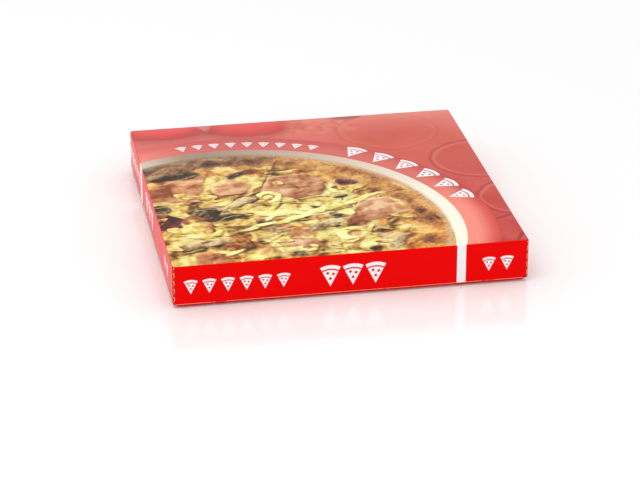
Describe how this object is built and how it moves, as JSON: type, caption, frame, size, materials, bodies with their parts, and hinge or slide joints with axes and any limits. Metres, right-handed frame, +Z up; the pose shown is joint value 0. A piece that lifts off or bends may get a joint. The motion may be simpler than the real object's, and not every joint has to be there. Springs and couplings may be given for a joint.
{
  "type": "closed pizza box",
  "caption": "Shut square takeaway pizza carton of corrugated board: a printed lid with skirt walls pulled down over an inset tray printed in plain red.",
  "frame": {"origin": "centre of the underside, on the surface that the box stands on", "axes": "+X to the right along the front wall, +Y to the back, +Z up through the top panel"},
  "size_m": [0.33, 0.33, 0.042],
  "materials": {
    "printed_board": "red printed board under a gloss laminate",
    "tray_board": "dull red print on uncoated board, without the laminate",
    "plain_board": "unprinted brown kraft board, matt, on cut edges and inside"
  },
  "bodies": {
    "root": {"lid": "printed_board", "tray": "tray_board"}
  },
  "joints": []
}
